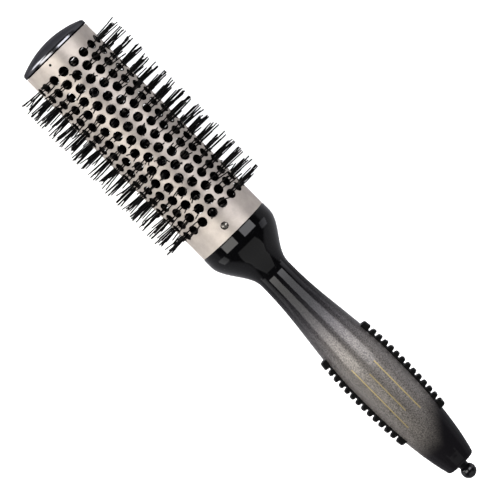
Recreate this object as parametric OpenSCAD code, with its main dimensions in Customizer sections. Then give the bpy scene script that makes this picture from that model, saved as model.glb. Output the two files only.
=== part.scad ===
// Round barrel brush: a perforated aluminium barrel on a moulded handle, with nylon tufts on a
// twisted wire core and a sectioning pick kept in the end of the handle. Millimetres, +Z up.
// The axis lies along X, with the handle's end towards +X and the barrel screw facing up.

/* [Barrel] */
// Outside diameter of the tube
barrel_d = 33; // [32.5:0.5:34]
// Length of the barrel, from the handle's seam to the cap's seam
barrel_l = 101.9; // [100:0.1:108]
// Thickness of the tube's wall
barrel_wall = 0.8; // [0.6:0.1:1.0]
// Diameter of the vent holes
hole_d = 4.2; // [3.2:0.1:4.3]
// Rings of vent holes along the barrel
rings = 18; // [14:1:18]
// Holes in each ring
holes = 18; // [12:1:18]

/* [Bristles] */
// Diameter over the bristle tips
tips_d = 52.6; // [46:0.2:58]
// Width of a gathered tuft at its tip
tuft_tip_d = 1.3; // [1:0.1:2]
// Diameter of each core wire
wire_d = 1.6; // [1.4:0.1:1.6]
// Length of one turn of the wires' left-handed twist
wire_pitch = 8; // [6:0.5:12]

/* [End cap] */
// Height of the cap above the end of the barrel
cap_h = 5.6; // [5.4:0.1:8]
// Radius of the cap's domed face
cap_dome_r = 40; // [38:1:60]

/* [Handle] */
// Length of the handle, from the seam to its end face
handle_l = 132.5; // [128:0.1:136]
// Diameter of the neck
neck_d = 14.9; // [14:0.1:17]
// Largest diameter of the grip
grip_d = 23.2; // [21:0.2:25]

/* [Grip inserts] */
// Ribs between the two wide ones at the ends
ribs = 12; // [6:1:12]
// Height of the ribs above the handle
rib_h = 2.05; // [1:0.05:2.5]
// Width of the ribs round the handle
rib_span = 8.4; // [6:0.2:9]

/* [Sectioning pick] */
// Diameter of the ball that is pulled
ball_d = 6.5; // [5:0.1:8]
// Diameter of the pick where it fits the handle
pick_d = 4.2; // [3:0.1:4.4]
// Length of the pick inside the handle
pick_l = 74; // [60:1:76]

/* [Hidden] */
// circles are true rounds at this count
$fn = 48;

barrel_r = barrel_d / 2;
bore_r = barrel_r - barrel_wall;
fit = 0.06;          // radial gap of a part that slides or drops into another
seam = 0.2;          // open line between the barrel and what closes its ends
plug_r = bore_r - fit;

// rings: plain tube left at the cap's end and at the handle's end, to the first hole centres
cap_margin = 7.85;
handle_margin = 12.15;
ring_pitch = (barrel_l - cap_margin - handle_margin) / (rings - 1);
hole_step = 360 / holes;
ring_phase = -7.9;   // angle of the first ring's holes from the top, each second ring half a step on
tuft_root_d = 0.6;
tuft_start = wire_d + 0.6;   // from the axis, clear of the wires

spigot_l = 8;        // of the handle, inside the barrel
spigot_wall = 2.4;
hollow_l = 12;       // depth of the hollow round the core's boss, which narrows past its step
hollow_step = 4;
broken = 0.3;        // break of a moulded edge
screw_z = -4.9;
screw_a = 3;
screw_head_d = 2.8;
screw_head_h = 0.95;
screw_shank_d = 1.6;
screw_l = 3.4;
screw_point_l = 0.8;
screw_point_d = 0.4;
screw_dome_r = 2.4;
screw_hole_d = 3.3;
recess_l = 1.9;      // cross recess of the screw
recess_w = 0.4;
recess_depth = 0.5;
recess_a = 40;
pin_z = 2.3 - barrel_l;
pin_a = 19.6;
pin_d = 1.1;

cap_lip = 0.15;      // the cap's rim stands proud of the tube
cap_edge_r = 1.4;
cap_skirt_l = 5.2;
cap_wall = 1.75;
cap_floor = 1.0;
boss_r = 4.2;
socket_r = wire_d + 0.12;
socket_in_cap = 2.6;
socket_in_handle = 14;

collar_r = barrel_r + 0.2;
collar_l = 4;
neck_start = 24;
neck_end = 27;
grip_start = 80;
grip_end = 86;
edge_r = 1.4;
tail_l = 56;         // half axis of the ellipse that draws the grip in to its end
pick_bore_r = pick_d / 2 + fit;
pick_bore_l = pick_l + 6.5;
pick_land_l = 13;    // the thick end that the bore guides
pick_taper = 0.25;   // step in radius behind the land
pick_tip_r = 0.5;
ball_gap = 1.0;      // between the ball and the handle's end face

pocket_depth = 1.0;
strip_h = 0.4;
rib_w = 2;
rib_gap = 1.26;
rib_first_w = 3.5;
rib_last_w = 3.2;
rib_start = 63.25;
rib_round = 0.45;
rib_taper = 0.15;
insert_end = rib_start + rib_first_w + rib_last_w + ribs * rib_w + (ribs + 1) * rib_gap;

grip_x = 86;         // the origin, from the seam: the middle of the grip

// Smooth step from 0 to 1
function ease(t) = t * t * (3 - 2 * t);
// Points of an arc in n steps, as [across, along], without those before the first one named
function arc(cr, cz, r, a0, a1, n, first = 0) =
    [for (i = [first:n]) let (a = a0 + (a1 - a0) * i / n) [cr + r * cos(a), cz + r * sin(a)]];

// Radius of the grip's ellipse at z
function tail_r(z) = grip_d / 2 * sqrt(1 - pow((z - grip_end) / tail_l, 2));
// Radius of the handle at z, from the seam to its end
function handle_r(z) =
    z < collar_l ? collar_r :
    z < neck_start ? collar_r + (neck_d / 2 - collar_r) * ease((z - collar_l) / (neck_start - collar_l)) :
    z < neck_end ? neck_d / 2 :
    z < grip_start ? (neck_d + (grip_d - neck_d) * ease((z - neck_end) / (grip_start - neck_end))) / 2 :
    z < grip_end ? grip_d / 2 : tail_r(z);

// Heights at which the outline of the handle is drawn: its shoulder, its grip and its tail
shoulder_steps = 22;
grip_steps = 28;
tail_steps = 22;
edge_z = handle_l - edge_r;
tail_a = asin((edge_z - grip_end) / tail_l);
handle_z = concat(
    [for (i = [0:shoulder_steps]) collar_l + (neck_start - collar_l) * i / shoulder_steps],
    [for (i = [0:grip_steps]) neck_end + (grip_start - neck_end) * i / grip_steps],
    [for (i = [0:tail_steps]) grip_end + tail_l * sin(tail_a * i / tail_steps)]);

// Where each rib starts and how wide it is, the strip under the ribs standing proudest half way
function rib_width(i) = i == 0 ? rib_first_w : i == ribs + 1 ? rib_last_w : rib_w;
function rib_z(i) = i == 0 ? rib_start : rib_z(i - 1) + rib_width(i - 1) + rib_gap;
function strip_r(z) = handle_r(z) + strip_h * sin(180 * (z - rib_start) / (insert_end - rib_start));

function ring_z(i) = cap_margin - barrel_l + i * ring_pitch;
function ring_a(i) = ring_phase + (i % 2) * hole_step / 2;
function ring_name(i) = str("bristle_ring_", i < 9 ? "0" : "", i + 1);

// Each piece is drawn along Z from the seam, then laid along X with the grip at the origin
module lay() {
    translate([-grip_x, 0, 0]) rotate([0, 90, 0]) children();
}

// Turns what points along X to stand out of the axis, at an angle from the top towards -Y
module radial(z, a) {
    translate([0, 0, z]) rotate([0, 0, 180 + a]) rotate([0, 90, 0]) children();
}

// The inside of the handle's surface, moved in or out by a depth
module handle_skin(depth, z0, z1) {
    inner = [for (z = handle_z) if (z > z0 && z < z1) [handle_r(z) + depth, z]];
    rotate_extrude() polygon(concat(
        [[0, z0], [handle_r(z0) + depth, z0]], inner, [[handle_r(z1) + depth, z1], [0, z1]]));
}

// The space of one side's insert, as wide as its ribs, with a gap all round
module insert_space(gap) {
    translate([-rib_span / 2 - gap, 0, rib_start - gap])
        cube([rib_span + 2 * gap, grip_d, insert_end - rib_start + 2 * gap]);
}

module handle_body() color("#1b1b1d") lay() difference() {
    rotate_extrude() polygon(concat(
        [[socket_r, -spigot_l], [boss_r, -spigot_l], [boss_r, hollow_l], [2 * boss_r, hollow_l],
         [plug_r - spigot_wall, hollow_step], [plug_r - spigot_wall, -spigot_l],
         [plug_r, -spigot_l], [plug_r, 0], [collar_r - broken, 0], [collar_r, broken]],
        [for (z = handle_z) [handle_r(z), z]],
        arc(tail_r(edge_z) - edge_r, edge_z, edge_r, 0, 90, 5, 1),
        [[pick_bore_r + broken, handle_l], [pick_bore_r, handle_l - broken],
         [pick_bore_r, handle_l - pick_bore_l], [0, handle_l - pick_bore_l],
         [0, socket_in_handle], [socket_r, socket_in_handle]]));
    for (side = [0, 180]) rotate([0, 0, side]) difference() {
        insert_space(fit / 2);
        handle_skin(-pocket_depth, rib_start - 5, insert_end + 5);
    }
    radial(screw_z, screw_a) translate([0, 0, bore_r / 2])
        cylinder(h = bore_r, d = screw_shank_d + fit);
}

// Outline of one rib, from its foot on the strip over its rounded top
function rib_outline(i) = let (z0 = rib_z(i), z1 = z0 + rib_width(i), top = rib_h - rib_round) concat(
    [[strip_r(z0), z0]],
    arc(handle_r(z0) + top, z0 + rib_taper + rib_round, rib_round, -90, 0, 3),
    arc(handle_r(z1) + top, z1 - rib_taper - rib_round, rib_round, 0, 90, 3),
    [[strip_r(z1), z1]]);

// A comb of ribs on a strip, cut from a ring that follows the handle
module grip_insert(side) color("#141414") lay() rotate([0, 0, side]) intersection() {
    floor_steps = 12;
    insert_space(0);
    rotate_extrude() polygon(concat(
        [for (i = [0:floor_steps]) let (z = insert_end + (rib_start - insert_end) * i / floor_steps)
            [handle_r(z) - pocket_depth + fit / 2, z]],
        [for (i = [0:ribs + 1]) each rib_outline(i)]));
}

module grip_insert_left() grip_insert(180);

module grip_insert_right() grip_insert(0);

module sectioning_pick() color("#101012") lay() {
    to_ball = ball_gap + ball_d / 2;
    translate([0, 0, handle_l + to_ball]) sphere(d = ball_d);
    translate([0, 0, handle_l - pick_land_l]) cylinder(h = pick_land_l + to_ball, d = pick_d);
    translate([0, 0, handle_l - pick_l])
        cylinder(h = pick_l - pick_land_l, r1 = pick_tip_r, r2 = pick_d / 2 - pick_taper);
    translate([0, 0, handle_l - pick_l]) sphere(r = pick_tip_r);
}

// Cuts one round hole in the tube's wall
module wall_hole(z, a, d) {
    spare = 1.5;
    radial(z, a) translate([0, 0, bore_r - spare]) cylinder(h = barrel_wall + 2 * spare, d = d);
}

module barrel_tube() color("#cfc4bd") lay() difference() {
    rotate_extrude() translate([bore_r, seam - barrel_l]) square([barrel_wall, barrel_l - 2 * seam]);
    for (i = [0:rings - 1], k = [0:holes - 1]) wall_hole(ring_z(i), ring_a(i) + k * hole_step, hole_d);
    wall_hole(screw_z, screw_a, screw_hole_d);
    wall_hole(pin_z, pin_a, pin_d + fit);
}

module barrel_screw() color("#c9c9cc") lay() radial(screw_z, screw_a)
    translate([0, 0, plug_r + fit / 2]) difference() {
        union() {
            intersection() {
                cylinder(h = screw_dome_r, d = screw_head_d);
                translate([0, 0, screw_head_h - screw_dome_r]) sphere(r = screw_dome_r);
            }
            translate([0, 0, -screw_l]) cylinder(h = screw_l + screw_head_h / 4, d = screw_shank_d);
            translate([0, 0, -screw_l - screw_point_l])
                cylinder(h = screw_point_l, d1 = screw_point_d, d2 = screw_shank_d);
        }
        for (a = [0, 90]) rotate([0, 0, a + recess_a])
            translate([-recess_l / 2, -recess_w / 2, screw_head_h - recess_depth])
            cube([recess_l, recess_w, 2 * recess_depth]);
    }

module end_cap() color("#8d8f94") lay() {
    rim_r = barrel_r + cap_lip;
    apex = -barrel_l - cap_h;
    // the edge's arc touches both the rim and the dome from inside
    edge_c = rim_r - cap_edge_r;
    edge_d = sqrt(pow(cap_dome_r - cap_edge_r, 2) - pow(edge_c, 2));
    join_a = atan(edge_c / edge_d);
    dome_c = apex + cap_dome_r;
    inside = -barrel_l - cap_floor;
    difference() {
        rotate_extrude() polygon(concat(
            arc(0, dome_c, cap_dome_r, -90, join_a - 90, 14),
            arc(edge_c, dome_c - edge_d, cap_edge_r, join_a - 90, 0, 7, 1),
            [[rim_r, -barrel_l], [plug_r, -barrel_l], [plug_r, cap_skirt_l - barrel_l],
             [plug_r - cap_wall, cap_skirt_l - barrel_l], [plug_r - cap_wall, inside],
             [boss_r, inside], [boss_r, cap_skirt_l - barrel_l], [socket_r, cap_skirt_l - barrel_l],
             [socket_r, -barrel_l - socket_in_cap], [0, -barrel_l - socket_in_cap]]));
        radial(pin_z, pin_a) translate([0, 0, bore_r / 2]) cylinder(h = bore_r, d = pin_d + fit);
    }
}

module cap_pin() color("#1b1b1d") lay() radial(pin_z, pin_a) {
    sunk = 0.1;          // its ends lie just under both walls' faces
    translate([0, 0, plug_r - cap_wall + sunk]) cylinder(h = barrel_wall + cap_wall - 2 * sunk, d = pin_d);
}

// One of the two wires, whose twist grips the roots of the tufts
module core_wire(turn) color("#8f9094") lay() {
    sides = 8;
    slices_a_turn = 9;
    end_gap = 0.3;       // left at the bottom of each socket
    low = end_gap - barrel_l - socket_in_cap;
    long = socket_in_handle - end_gap - low;
    turns = long / wire_pitch;
    translate([0, 0, low]) rotate([0, 0, turn])
        linear_extrude(height = long, twist = 360 * turns, slices = round(slices_a_turn * turns), $fn = sides)
        translate([wire_d / 2 + fit / 3, 0]) circle(d = wire_d, $fn = sides);
}

module core_wire_a() core_wire(0);

module core_wire_b() core_wire(180);

// The tufts of one ring: a slender solid through each hole, with the nylon of its strands
module bristle_ring(i) color("#161616") lay()
    for (k = [0:holes - 1]) radial(ring_z(i), ring_a(i) + k * hole_step)
        translate([0, 0, tuft_start])
        cylinder(h = tips_d / 2 - tuft_start, d1 = tuft_root_d, d2 = tuft_tip_d);

handle_body();
grip_insert_left();
grip_insert_right();
sectioning_pick();
barrel_tube();
barrel_screw();
end_cap();
cap_pin();
core_wire_a();
core_wire_b();
for (i = [0:rings - 1]) bristle_ring(i);
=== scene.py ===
import math
import random

import bpy
from mathutils import Matrix, Vector


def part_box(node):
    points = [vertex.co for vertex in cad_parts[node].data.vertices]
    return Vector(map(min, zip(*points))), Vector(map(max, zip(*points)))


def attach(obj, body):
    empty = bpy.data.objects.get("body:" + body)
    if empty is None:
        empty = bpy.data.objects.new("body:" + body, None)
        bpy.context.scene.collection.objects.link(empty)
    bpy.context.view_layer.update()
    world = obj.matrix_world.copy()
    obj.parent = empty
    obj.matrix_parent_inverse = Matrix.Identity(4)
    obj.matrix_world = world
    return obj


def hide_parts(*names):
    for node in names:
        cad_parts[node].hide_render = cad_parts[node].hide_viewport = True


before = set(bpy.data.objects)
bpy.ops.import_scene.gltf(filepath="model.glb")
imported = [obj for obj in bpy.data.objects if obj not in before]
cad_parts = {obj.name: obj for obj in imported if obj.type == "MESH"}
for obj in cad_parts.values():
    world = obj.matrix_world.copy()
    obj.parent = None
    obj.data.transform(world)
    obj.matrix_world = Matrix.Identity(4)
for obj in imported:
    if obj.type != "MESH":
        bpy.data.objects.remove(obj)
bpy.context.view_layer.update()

MM = 0.001
random.seed(33)

# Places along the brush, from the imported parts
tube_low, tube_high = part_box("barrel_tube")
handle_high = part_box("handle_body")[1]
SEAM_X = tube_high.x + 0.2 * MM          # between the barrel and the collar
TUBE_R = tube_high.z                     # outside of the tube
TIPS_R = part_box("bristle_ring_02")[1].z  # over the bristle tips
WALL = 0.8 * MM                          # of the tube
HOLE_R = 2.1 * MM
HOLES = 18                               # in each ring
RING_ANGLE = -7.9                        # of the first ring's holes, from the top towards -Y
rings = sorted(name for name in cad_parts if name.startswith("bristle_ring_"))


# ---------------------------------------------------------------- helpers

def linear(code):
    """An sRGB hex colour as the linear RGBA that a shader takes."""
    channels = [int(code[i:i + 2], 16) / 255 for i in (1, 3, 5)]
    return (*[c / 12.92 if c <= 0.04045 else ((c + 0.055) / 1.055) ** 2.4 for c in channels], 1.0)


def add(tree, kind, settings=None, values=None, links=None, stops=()):
    """Adds a node with its settings, its sockets' values and the links into it.

    A ramp gets its stops as well, and runs smoothly past them where there are more than two.
    """
    node = tree.nodes.new(kind)
    for name, value in (settings or {}).items():
        setattr(node, name, value)
    for name, value in (values or {}).items():
        node.inputs[name].default_value = value
    for name, source in (links or {}).items():
        tree.links.new(source, node.inputs[name])
    for _ in stops[2:]:
        node.color_ramp.elements.new(0.5)
    if len(stops) > 2:
        node.color_ramp.interpolation = "B_SPLINE"
    for index, (place, code) in enumerate(stops):
        node.color_ramp.elements[index].position = place
        node.color_ramp.elements[index].color = linear(code)
    return node


def new_material(name):
    """An empty material, its tree and its Object coordinates."""
    made = bpy.data.materials.new(name)
    made.use_nodes = True
    made.node_tree.nodes.clear()
    place = add(made.node_tree, "ShaderNodeTexCoord").outputs["Object"]
    return made, made.node_tree, place


def dress(obj, made):
    """Gives every slot of the piece this material."""
    if not obj.material_slots:
        obj.data.materials.append(made)
    for held in obj.material_slots:
        held.material = made


def deselect():
    """Leaves nothing selected, so that an operator acts on its own piece only."""
    for obj in bpy.context.selected_objects:
        obj.select_set(False)


def choose(obj, rule):
    """Selects the piece's vertices that the rule takes."""
    for part in (*obj.data.polygons, *obj.data.edges):
        part.select = False
    for vertex in obj.data.vertices:
        vertex.select = rule(vertex.co)


# ---------------------------------------------------------------- materials

COAT_DEPTH = 0.12 * WALL    # how far in from the outside the tube still shows its coat; deeper in it is painted shade
CAP_SHADE_WIDTH = 0.7 * MM         # width of the cap's band beside the tube that is painted near black as the groove's shade

# The flake's mist fades out between these places, sooner by this much for each mm towards +Y
MIST_FADES = SEAM_X + 104.5 * MM
MIST_ENDS = SEAM_X + 122.5 * MM
MIST_SLANT = 1.2

# Lines of gold foil on the handle's top, in mm: start from the seam, length, y, width
FOIL_LINES = ((76.5, 27, 3.9, 0.5), (79, 21, -1.15, 0.4), (73, 33, -5.3, 0.4))


def ceramic_coated_aluminium():
    """Champagne ceramic coat on a drawn tube: satin, faintly ringed, with painted shade near black
    and without sheen in its holes and inside.
    """
    made, tree, place = new_material("ceramic_coated_aluminium")
    split = add(tree, "ShaderNodeSeparateXYZ", links={"Vector": place})
    across = add(tree, "ShaderNodeCombineXYZ",
                 links={"Y": split.outputs["Y"], "Z": split.outputs["Z"]})
    radius = add(tree, "ShaderNodeVectorMath", {"operation": "LENGTH"},
                 links={0: across.outputs["Vector"]})
    inside = add(tree, "ShaderNodeMath", {"operation": "LESS_THAN"}, {1: TUBE_R - COAT_DEPTH},
                 {0: radius.outputs["Value"]})
    # cloudy patches of 5 mm and the coat's own grain of 0.25 mm
    patches = add(tree, "ShaderNodeTexNoise",
                  values={"Scale": 1 / (5 * MM), "Detail": 4.0, "Roughness": 0.6},
                  links={"Vector": place})
    grain = add(tree, "ShaderNodeTexNoise", values={"Scale": 1 / (0.25 * MM), "Detail": 3.0},
                links={"Vector": place})
    tone = add(tree, "ShaderNodeMath", {"operation": "MULTIPLY_ADD"}, {1: 0.35},
               {0: grain.outputs["Fac"], 2: patches.outputs["Fac"]})
    coat = add(tree, "ShaderNodeValToRGB", links={"Fac": tone.outputs["Value"]},
               stops=[(0.4, "#938c87"), (0.9, "#aaa29a")])
    # painted shade: the inside of the tube and its hole walls are coloured near black
    colour = add(tree, "ShaderNodeMix", {"data_type": "RGBA"}, {"B": linear("#050505")},
                 {"Factor": inside.outputs["Value"], "A": coat.outputs["Color"]})
    # rings of the drawn tube, 0.4 mm apart and 50 mm long round it
    stretched = add(tree, "ShaderNodeMapping",
                    values={"Scale": (1 / (0.4 * MM), 1 / (50 * MM), 1 / (50 * MM))},
                    links={"Vector": place})
    drawn = add(tree, "ShaderNodeTexNoise", values={"Scale": 1.0, "Detail": 2.0},
                links={"Vector": stretched.outputs["Vector"]})
    height = add(tree, "ShaderNodeMath", {"operation": "ADD"},
                 links={0: drawn.outputs["Fac"], 1: grain.outputs["Fac"]})
    bump = add(tree, "ShaderNodeBump", values={"Distance": 0.012 * MM},
               links={"Height": height.outputs["Value"]})
    # half a metal outside, none where the holes and the inside are painted as shade
    metal = add(tree, "ShaderNodeMath", {"operation": "MULTIPLY_ADD"}, {1: -0.5, 2: 0.5},
                {0: inside.outputs["Value"]})
    shader = add(tree, "ShaderNodeBsdfPrincipled",
                 values={"Roughness": 0.42, "Specular IOR Level": 0.0},
                 links={"Base Color": colour.outputs["Result"], "Metallic": metal.outputs["Value"],
                        "Normal": bump.outputs["Normal"]})
    add(tree, "ShaderNodeOutputMaterial", links={"Surface": shader.outputs["BSDF"]})
    return made


def metallised_abs():
    """Moulded ABS with a metal film under smoked lacquer: a dark mirror, with painted shade near
    black along its edge by the tube.
    """
    made, tree, place = new_material("metallised_abs")
    waves = add(tree, "ShaderNodeTexNoise", values={"Scale": 1 / (6 * MM), "Detail": 2.0},
                links={"Vector": place})
    film = add(tree, "ShaderNodeValToRGB", links={"Fac": waves.outputs["Fac"]},
               stops=[(0.3, "#66666a"), (0.7, "#767679")])
    split = add(tree, "ShaderNodeSeparateXYZ", links={"Vector": place})
    # painted shade: the cap's last 0.7 mm by the tube is coloured near black, as the shade in the
    # groove between cap and tube
    painted_seam_shade = add(tree, "ShaderNodeMath", {"operation": "GREATER_THAN"}, {1: tube_low.x - CAP_SHADE_WIDTH},
               {0: split.outputs["X"]})
    colour = add(tree, "ShaderNodeMix", {"data_type": "RGBA"}, {"B": linear("#08080a")},
                 {"Factor": painted_seam_shade.outputs["Value"], "A": film.outputs["Color"]})
    bump = add(tree, "ShaderNodeBump", values={"Distance": 0.03 * MM},
               links={"Height": waves.outputs["Fac"]})
    shader = add(tree, "ShaderNodeBsdfPrincipled",
                 values={"Metallic": 1.0, "Roughness": 0.2, "Specular Tint": linear("#a8a8aa")},
                 links={"Base Color": colour.outputs["Result"], "Normal": bump.outputs["Normal"]})
    add(tree, "ShaderNodeOutputMaterial", links={"Surface": shader.outputs["BSDF"]})
    return made


def flake_lacquered_abs():
    """Moulded ABS sprayed black, with a mist of aluminium flake, gold lines and clear lacquer."""
    made, tree, place = new_material("flake_lacquered_abs")
    split = add(tree, "ShaderNodeSeparateXYZ", links={"Vector": place})
    # how far along the handle, from the seam to its end
    along = add(tree, "ShaderNodeMapRange", values={"From Min": SEAM_X, "From Max": handle_high.x},
                links={"Value": split.outputs["X"]})
    mist = add(tree, "ShaderNodeValToRGB", links={"Fac": along.outputs["Result"]},
               stops=[(0.18, "#060607"), (0.26, "#171618"), (0.34, "#2f2e30"),
                      (0.42, "#5a5758"), (0.54, "#86817b")])
    # the mist ends before the tail
    side = add(tree, "ShaderNodeMath", {"operation": "MAXIMUM"}, {1: 0.0},
               {0: split.outputs["Y"]})
    slant = add(tree, "ShaderNodeMath", {"operation": "MULTIPLY_ADD"}, {1: MIST_SLANT},
                {0: side.outputs["Value"], 2: split.outputs["X"]})
    sprayed_to = add(tree, "ShaderNodeMapRange", {"interpolation_type": "SMOOTHSTEP"},
                     {"From Min": MIST_FADES, "From Max": MIST_ENDS, "To Min": 1.0, "To Max": 0.0},
                     {"Value": slant.outputs["Value"]})
    cover = add(tree, "ShaderNodeMapRange", {"interpolation_type": "SMOOTHSTEP"},
                {"From Min": 0.24, "From Max": 0.5, "To Min": 0.0, "To Max": 0.8},
                {"Value": along.outputs["Result"]})
    metal = add(tree, "ShaderNodeMath", {"operation": "MULTIPLY"},
                links={0: cover.outputs["Result"], 1: sprayed_to.outputs["Result"]})
    # the clear lacquer thins out and the flake under it scatters more towards the grip
    gloss = add(tree, "ShaderNodeValToRGB", links={"Fac": along.outputs["Result"]},
                stops=[(0.17, "#ffffff"), (0.22, "#cbcbcb"), (0.5, "#b4b4b4")])
    matt = add(tree, "ShaderNodeMapRange", {"interpolation_type": "SMOOTHSTEP"},
               {"From Min": 0.3, "From Max": 0.68, "To Min": 0.3, "To Max": 0.44},
               {"Value": along.outputs["Result"]})
    # flake of 0.05 mm, drawn 0.5 mm across so that it shows
    flake = add(tree, "ShaderNodeTexNoise",
                values={"Scale": 1 / (0.5 * MM), "Detail": 3.0, "Roughness": 0.7},
                links={"Vector": place})
    glint = add(tree, "ShaderNodeValToRGB", links={"Fac": flake.outputs["Fac"]},
                stops=[(0.35, "#8a8a90"), (0.65, "#ffffff")])
    flaked = add(tree, "ShaderNodeMix", {"data_type": "RGBA", "blend_type": "MULTIPLY"},
                 {"Factor": 1.0}, {"A": mist.outputs["Color"], "B": glint.outputs["Color"]})
    sprayed = add(tree, "ShaderNodeMix", {"data_type": "RGBA"}, {"A": linear("#111012")},
                  {"Factor": sprayed_to.outputs["Result"], "B": flaked.outputs["Result"]})
    # plain lines of gold foil, on the top only
    top = add(tree, "ShaderNodeMath", {"operation": "GREATER_THAN"}, {1: 0.0},
              {0: split.outputs["Z"]})
    lines = None
    for start, length, y, width in FOIL_LINES:
        on_x = add(tree, "ShaderNodeMath", {"operation": "COMPARE"},
                   {1: SEAM_X + (start + length / 2) * MM, 2: length / 2 * MM},
                   {0: split.outputs["X"]})
        on_y = add(tree, "ShaderNodeMath", {"operation": "COMPARE"},
                   {1: y * MM, 2: width / 2 * MM}, {0: split.outputs["Y"]})
        line = add(tree, "ShaderNodeMath", {"operation": "MULTIPLY"},
                   links={0: on_x.outputs["Value"], 1: on_y.outputs["Value"]})
        lines = line if lines is None else add(
            tree, "ShaderNodeMath", {"operation": "ADD"},
            links={0: lines.outputs["Value"], 1: line.outputs["Value"]})
    gold = add(tree, "ShaderNodeMath", {"operation": "MULTIPLY"},
               links={0: top.outputs["Value"], 1: lines.outputs["Value"]})
    colour = add(tree, "ShaderNodeMix", {"data_type": "RGBA"}, {"B": linear("#988960")},
                 {"Factor": gold.outputs["Value"], "A": sprayed.outputs["Result"]})
    # the lacquer's orange peel, 2.5 mm across
    peel = add(tree, "ShaderNodeTexNoise", values={"Scale": 1 / (2.5 * MM), "Detail": 1.0},
               links={"Vector": place})
    bump = add(tree, "ShaderNodeBump", values={"Distance": 0.012 * MM},
               links={"Height": peel.outputs["Fac"]})
    shader = add(tree, "ShaderNodeBsdfPrincipled",
                 values={"Specular IOR Level": 0.0, "Coat IOR": 1.33, "Coat Roughness": 0.05},
                 links={"Base Color": colour.outputs["Result"], "Metallic": metal.outputs["Value"],
                        "Roughness": matt.outputs["Result"], "Coat Weight": gloss.outputs["Color"],
                        "Coat Normal": bump.outputs["Normal"]})
    add(tree, "ShaderNodeOutputMaterial", links={"Surface": shader.outputs["BSDF"]})
    return made


def moulded_rubber():
    """Black thermoplastic rubber from a spark-eroded mould: matt, with a fine grain."""
    made, tree, place = new_material("moulded_rubber")
    grain = add(tree, "ShaderNodeTexNoise", values={"Scale": 1 / (0.25 * MM), "Detail": 4.0},
                links={"Vector": place})
    tone = add(tree, "ShaderNodeValToRGB", links={"Fac": grain.outputs["Fac"]},
               stops=[(0.3, "#030303"), (0.7, "#090909")])
    bump = add(tree, "ShaderNodeBump", values={"Distance": 0.03 * MM},
               links={"Height": grain.outputs["Fac"]})
    shader = add(tree, "ShaderNodeBsdfPrincipled",
                 values={"Roughness": 0.5, "Specular IOR Level": 0.06},
                 links={"Base Color": tone.outputs["Color"], "Normal": bump.outputs["Normal"]})
    add(tree, "ShaderNodeOutputMaterial", links={"Surface": shader.outputs["BSDF"]})
    return made


def polished_nylon():
    """Black nylon from a polished mould: deep gloss with the slightest ripple."""
    made, tree, place = new_material("polished_nylon")
    ripple = add(tree, "ShaderNodeTexNoise", values={"Scale": 1 / (1.5 * MM), "Detail": 2.0},
                 links={"Vector": place})
    tone = add(tree, "ShaderNodeValToRGB", links={"Fac": ripple.outputs["Fac"]},
               stops=[(0.3, "#050506"), (0.7, "#0c0c0e")])
    bump = add(tree, "ShaderNodeBump", values={"Distance": 0.01 * MM},
               links={"Height": ripple.outputs["Fac"]})
    shader = add(tree, "ShaderNodeBsdfPrincipled",
                 values={"Roughness": 0.14, "Specular IOR Level": 0.35},
                 links={"Base Color": tone.outputs["Color"], "Normal": bump.outputs["Normal"]})
    add(tree, "ShaderNodeOutputMaterial", links={"Surface": shader.outputs["BSDF"]})
    return made


def drawn_nylon():
    """Drawn nylon 6 monofilament, dyed through: black with a soft line of light on each strand."""
    made, tree, place = new_material("drawn_nylon")
    dye = add(tree, "ShaderNodeTexNoise", values={"Scale": 1 / (1.2 * MM), "Detail": 2.0},
              links={"Vector": place})
    tone = add(tree, "ShaderNodeValToRGB", links={"Fac": dye.outputs["Fac"]},
               stops=[(0.3, "#020202"), (0.7, "#070708")])
    shader = add(tree, "ShaderNodeBsdfPrincipled",
                 values={"Roughness": 0.34, "Specular IOR Level": 0.08},
                 links={"Base Color": tone.outputs["Color"]})
    add(tree, "ShaderNodeOutputMaterial", links={"Surface": shader.outputs["BSDF"]})
    return made


def nickel_plated_steel():
    """Cold-headed steel screw with a nickel plate, worn dull by the driver: mid-grey metal."""
    made, tree, place = new_material("nickel_plated_steel")
    wear = add(tree, "ShaderNodeTexNoise", values={"Scale": 1 / (0.5 * MM), "Detail": 3.0},
               links={"Vector": place})
    tone = add(tree, "ShaderNodeValToRGB", links={"Fac": wear.outputs["Fac"]},
               stops=[(0.3, "#5d5a57"), (0.7, "#85817c")])
    bump = add(tree, "ShaderNodeBump", values={"Distance": 0.02 * MM},
               links={"Height": wear.outputs["Fac"]})
    shader = add(tree, "ShaderNodeBsdfPrincipled", values={"Metallic": 1.0, "Roughness": 0.3},
                 links={"Base Color": tone.outputs["Color"], "Normal": bump.outputs["Normal"]})
    add(tree, "ShaderNodeOutputMaterial", links={"Surface": shader.outputs["BSDF"]})
    return made


def drawn_steel_wire():
    """Zinc-grey drawn steel wire: grey metal with a dull sheen."""
    made, tree, place = new_material("drawn_steel_wire")
    zinc = add(tree, "ShaderNodeTexNoise", values={"Scale": 1 / (0.8 * MM), "Detail": 3.0},
               links={"Vector": place})
    tone = add(tree, "ShaderNodeValToRGB", links={"Fac": zinc.outputs["Fac"]},
               stops=[(0.3, "#8d8c8c"), (0.7, "#b4b2b1")])
    shader = add(tree, "ShaderNodeBsdfPrincipled", values={"Metallic": 1.0, "Roughness": 0.35},
                 links={"Base Color": tone.outputs["Color"]})
    add(tree, "ShaderNodeOutputMaterial", links={"Surface": shader.outputs["BSDF"]})
    return made


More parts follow.
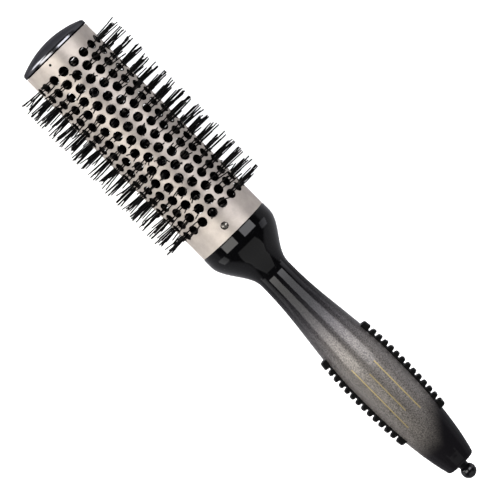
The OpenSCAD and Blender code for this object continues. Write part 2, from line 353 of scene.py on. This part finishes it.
def studio_paper():
    """Seamless white paper, lit through so that shadows on it stay faint."""
    made, tree, place = new_material("studio_paper")
    tooth = add(tree, "ShaderNodeTexNoise", values={"Scale": 1 / (1.0 * MM), "Detail": 3.0},
                links={"Vector": place})
    tone = add(tree, "ShaderNodeValToRGB", links={"Fac": tooth.outputs["Fac"]},
               stops=[(0.0, "#f0f0f0"), (1.0, "#f6f6f6")])
    shader = add(tree, "ShaderNodeBsdfPrincipled",
                 values={"Roughness": 0.9, "Emission Color": linear("#ffffff"),
                         "Emission Strength": 0.5},
                 links={"Base Color": tone.outputs["Color"]})
    add(tree, "ShaderNodeOutputMaterial", links={"Surface": shader.outputs["BSDF"]})
    return made


nylon = drawn_nylon()
rubber = moulded_rubber()
wire = drawn_steel_wire()
finishes = {
    "handle_body": flake_lacquered_abs(),
    "grip_insert_left": rubber,
    "grip_insert_right": rubber,
    "sectioning_pick": polished_nylon(),
    "barrel_tube": ceramic_coated_aluminium(),
    "barrel_screw": nickel_plated_steel(),
    "end_cap": metallised_abs(),
    "cap_pin": rubber,
    "core_wire_a": wire,
    "core_wire_b": wire,
    **{ring: nylon for ring in rings},
}
for node, finish in finishes.items():
    dress(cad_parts[node], finish)


# ---------------------------------------------------------------- bristles

STRAND_D = 0.56 * MM
CORE_R = 1.3 * MM                   # where the wires grip the strands
REACH = HOLE_R - 0.65 * STRAND_D    # how far off its hole's centre a strand may pass
SHORT_SHARE = 0.3                   # of the strands, that are cut or worn short
FIBRES = 55                         # in each ring, that found no hole
FIBRE_SPREAD = 2.4 * MM             # of their ends, along the core and the tube
FIBRE_R = TUBE_R - WALL - 0.6 * MM  # where they end


def model_strand(bend):
    """A six-sided strand a unit long along +Z, straight in the tube and bent over outside it."""
    bpy.ops.mesh.primitive_cylinder_add(vertices=6, radius=STRAND_D / 2, depth=1.0,
                                        location=(0, 0, 0.5))
    strand = bpy.context.object
    bpy.ops.object.transform_apply(location=True, rotation=False, scale=False)
    # cut at the tube, half way out and close to the tip
    bpy.ops.object.mode_set(mode="EDIT")
    for cut in (0.64, 0.84, 0.99):
        bpy.ops.mesh.select_all(action="SELECT")
        bpy.ops.mesh.bisect(plane_co=(0, 0, cut), plane_no=(0, 0, 1))
    bpy.ops.object.mode_set(mode="OBJECT")
    # three tenths of the bend at the middle cut, the rest past it
    for above, share in ((0.7, 0.3), (0.9, 0.7)):
        choose(strand, lambda p: p.z > above)
        bpy.ops.object.mode_set(mode="EDIT")
        bpy.ops.transform.translate(value=(bend * share, 0, 0))
        bpy.ops.object.mode_set(mode="OBJECT")
    # the cut end is rounded off
    choose(strand, lambda p: p.z > 0.995)
    bpy.ops.object.mode_set(mode="EDIT")
    bpy.ops.transform.resize(value=(0.55, 0.55, 1.0))
    bpy.ops.object.mode_set(mode="OBJECT")
    bpy.ops.object.shade_smooth_by_angle(angle=math.radians(65))
    return strand


def out_from_axis(x, r, angle, side=0.0):
    """The point at x and radius r, at an angle from the top towards -Y, and side further round."""
    a = math.radians(angle)
    return Vector((x, -r * math.sin(a) - side * math.cos(a), r * math.cos(a) - side * math.sin(a)))


def strand_place(ring_x, angle, lean, spread, fan, share):
    """The matrix that lays a unit strand from the core, through its hole, to its trimmed tip.

    In its hole it stands off by the tuft's lean and its own share of the tuft's spread.
    """
    off = lean + Vector((spread * (2 * share - 1) + random.uniform(-0.4, 0.4) * MM,
                         random.uniform(-spread, spread)))
    if off.length > REACH:
        off *= REACH / off.length
    root = out_from_axis(ring_x + off.x * (1 - fan), CORE_R, angle + random.uniform(-15, 15))
    hole = out_from_axis(ring_x + off.x, TUBE_R, angle, off.y)
    way = (hole - root).normalized()
    # trimmed on the brush's round outline, some of them cut or worn shorter, in mm
    worn = random.random() < SHORT_SHARE
    short = random.uniform(0.3, 3.5) if worn else random.uniform(0, 0.25)
    flat_root, flat_way = Vector((root.y, root.z)), Vector((way.y, way.z))
    along = flat_root.dot(flat_way) / flat_way.length_squared
    gap = (flat_root.length_squared - (TIPS_R - short * MM) ** 2) / flat_way.length_squared
    span = math.sqrt(along * along - gap) - along
    turned = way.to_track_quat("Z", "X").to_matrix().to_4x4()
    spun = Matrix.Rotation(random.uniform(0, 2 * math.pi), 4, "Z")
    return Matrix.Translation(root) @ turned @ spun @ Matrix.Diagonal((1, 1, span, 1))


def laid(base, place):
    """A copy of a strand, with its own mesh, at its place."""
    copy = base.copy()
    copy.data = base.data.copy()
    bpy.context.scene.collection.objects.link(copy)
    copy.matrix_world = place
    return copy


def tuft(strands, ring_x, angle, count):
    """The strands of one hole: gathered and upright, or open like a fan, more often towards -Y."""
    gathered = random.random() < 0.55 - 0.25 * math.sin(math.radians(angle))
    spread = random.uniform(0.7, 1.4) * MM if gathered else random.uniform(1.3, 1.8) * MM
    fan = random.uniform(0.0, 0.3) if gathered else random.uniform(0.3, 0.8)
    lean = Vector((random.uniform(-0.6, 0.6), random.uniform(-0.6, 0.6))) * MM
    made = []
    for number in range(count):
        place = strand_place(ring_x, angle, lean, spread, fan, (number + 0.5) / count)
        made.append(laid(random.choice(strands), place))
    return made


def fibre_place(ring_x):
    """The matrix that lays a unit strand from the core to the inside of the tube."""
    angle = random.uniform(0, 360)
    root = out_from_axis(ring_x + random.uniform(-FIBRE_SPREAD, FIBRE_SPREAD), CORE_R, angle)
    end = out_from_axis(ring_x + random.uniform(-FIBRE_SPREAD, FIBRE_SPREAD), FIBRE_R, angle)
    way = end - root
    turned = way.to_track_quat("Z", "X").to_matrix().to_4x4()
    return Matrix.Translation(root) @ turned @ Matrix.Diagonal((1, 1, way.length, 1))


deselect()
strands = [model_strand(bend * MM) for bend in (0.0, 0.2, 0.5, 0.9)]
for index, ring in enumerate(rings):
    low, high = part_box(ring)
    ring_x = (low.x + high.x) / 2
    # every second ring stands half a hole further round, and the first holds fewer strands
    first_angle = RING_ANGLE + (index % 2) * 180 / HOLES
    counts = (1, 2, 3) if index == 0 else (2, 3, 3, 4)
    made = []
    for k in range(HOLES):
        made += tuft(strands, ring_x, first_angle + k * 360 / HOLES, random.choice(counts))
    made += [laid(strands[0], fibre_place(ring_x)) for _ in range(FIBRES)]
    deselect()
    for copy in made:
        copy.select_set(True)
    bpy.context.view_layer.objects.active = made[0]
    bpy.ops.object.join()
    bpy.ops.object.transform_apply(location=True, rotation=True, scale=True)
    tufts = bpy.context.object
    tufts.name = ring.replace("ring", "tufts")
    dress(tufts, nylon)
    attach(tufts, "brush")
    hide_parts(ring)
for strand in strands:
    bpy.data.objects.remove(strand)


# ---------------------------------------------------------------- camera, light and floor

TILT = math.radians(3.4)         # the handle's end lies this much further from the camera
ROLL = math.radians(45.43)       # the brush's axis runs down to the right
VIEW = math.radians(6.9)         # angle that the camera takes in
AIM = Vector((SEAM_X + 10.2 * MM, -0.45 * MM, 0))
DISTANCE = 1.68

back = Vector((-math.sin(TILT), 0, math.cos(TILT)))
level = Vector((math.cos(TILT), 0, math.sin(TILT)))
right = math.cos(ROLL) * level + math.sin(ROLL) * Vector((0, 1, 0))
camera_data = bpy.data.cameras.new("camera")
camera_data.angle = VIEW
camera = bpy.data.objects.new("camera", camera_data)
bpy.context.scene.collection.objects.link(camera)
camera.matrix_world = (Matrix.Translation(AIM + back * DISTANCE)
                       @ Matrix((right, back.cross(right), back)).transposed().to_4x4())
bpy.context.scene.camera = camera


def softbox(name, place, target, size, power, code):
    """A rectangular light at place, facing target, whose first side runs along the brush."""
    lamp = bpy.data.lights.new(name, "AREA")
    lamp.shape = "RECTANGLE"
    lamp.size, lamp.size_y = size
    lamp.energy = power
    lamp.color = linear(code)[:3]
    obj = bpy.data.objects.new(name, lamp)
    bpy.context.scene.collection.objects.link(obj)
    away = (place - target).normalized()
    along = (Vector((1, 0, 0)) - away * away.x).normalized()
    turned = Matrix((along, away.cross(along), away)).transposed().to_4x4()
    obj.matrix_world = Matrix.Translation(place) @ turned


LAMP_R = 0.9                     # from the brush's axis to the lamps beside it
BOX = (0.46, 0.74)
CARD = (0.14, 0.16)
FILL = (0.9, 0.5)
over = Vector((-0.19, 0, 0))
beside_grip = Vector((0.01, 0, 0))
softbox("softbox_lower", out_from_axis(over.x, LAMP_R, 35), over, BOX, 6.3, "#fffdf9")
softbox("softbox_upper", out_from_axis(over.x, LAMP_R, -35), over, BOX, 6.2, "#fbfbff")
softbox("fill_end", Vector((0.68, 0, 0.44)), Vector((SEAM_X, 0, 0)), (0.66, 1.0), 1.5, "#ffffff")
softbox("fill_cap", Vector((-0.7, -0.6, 0.15)), Vector((-0.15, 0, 0)), (0.7, 0.6), 7.5, "#ffffff")
softbox("card_lower", Vector((0.01, -0.3, 0.03)), beside_grip, CARD, 0.09, "#ffffff")
softbox("card_upper", Vector((0.01, 0.3, 0.03)), beside_grip, CARD, 0.08, "#f6f6ff")
softbox("fill_lower", out_from_axis(over.x, LAMP_R, 85), over, FILL, 9.5, "#fffdfb")
softbox("fill_upper", out_from_axis(over.x, LAMP_R, -65), over, FILL, 2.6, "#fbfbff")
for name in ("fill_lower", "fill_upper"):
    bpy.data.objects[name].visible_glossy = False    # they brighten the matt surfaces only

# The room: pale where the camera looks, dark overhead and dim below in reflections
world = bpy.data.worlds.new("studio")
world.use_nodes = True
room = world.node_tree
room.nodes.clear()
way = add(room, "ShaderNodeSeparateXYZ",
          links={"Vector": add(room, "ShaderNodeTexCoord").outputs["Generated"]})
height = add(room, "ShaderNodeMapRange", values={"From Min": 0.0, "From Max": 0.24},
             links={"Value": way.outputs["Z"]})
shade = add(room, "ShaderNodeValToRGB", links={"Fac": height.outputs["Result"]},
            stops=[(0.2, "#b0b0b5"), (0.8, "#3c3c3e")])
dim = add(room, "ShaderNodeBackground", links={"Color": shade.outputs["Color"]})
pale = add(room, "ShaderNodeBackground", values={"Color": linear("#f4f4f6")})
seen = add(room, "ShaderNodeLightPath")
mixed = add(room, "ShaderNodeMixShader",
            links={0: seen.outputs["Is Camera Ray"], 1: dim.outputs["Background"],
                   2: pale.outputs["Background"]})
add(room, "ShaderNodeOutputWorld", links={"Surface": mixed.outputs["Shader"]})
bpy.context.scene.world = world
bpy.context.scene.view_settings.view_transform = "Standard"

deselect()
bpy.ops.mesh.primitive_plane_add(size=6, location=(0, 0, -TIPS_R - 0.1 * MM))
floor = bpy.context.object
floor.name = "floor"
bpy.ops.object.transform_apply(location=True, rotation=True, scale=True)
dress(floor, studio_paper())
floor.visible_glossy = False     # so that the dark lacquer keeps a dark outline
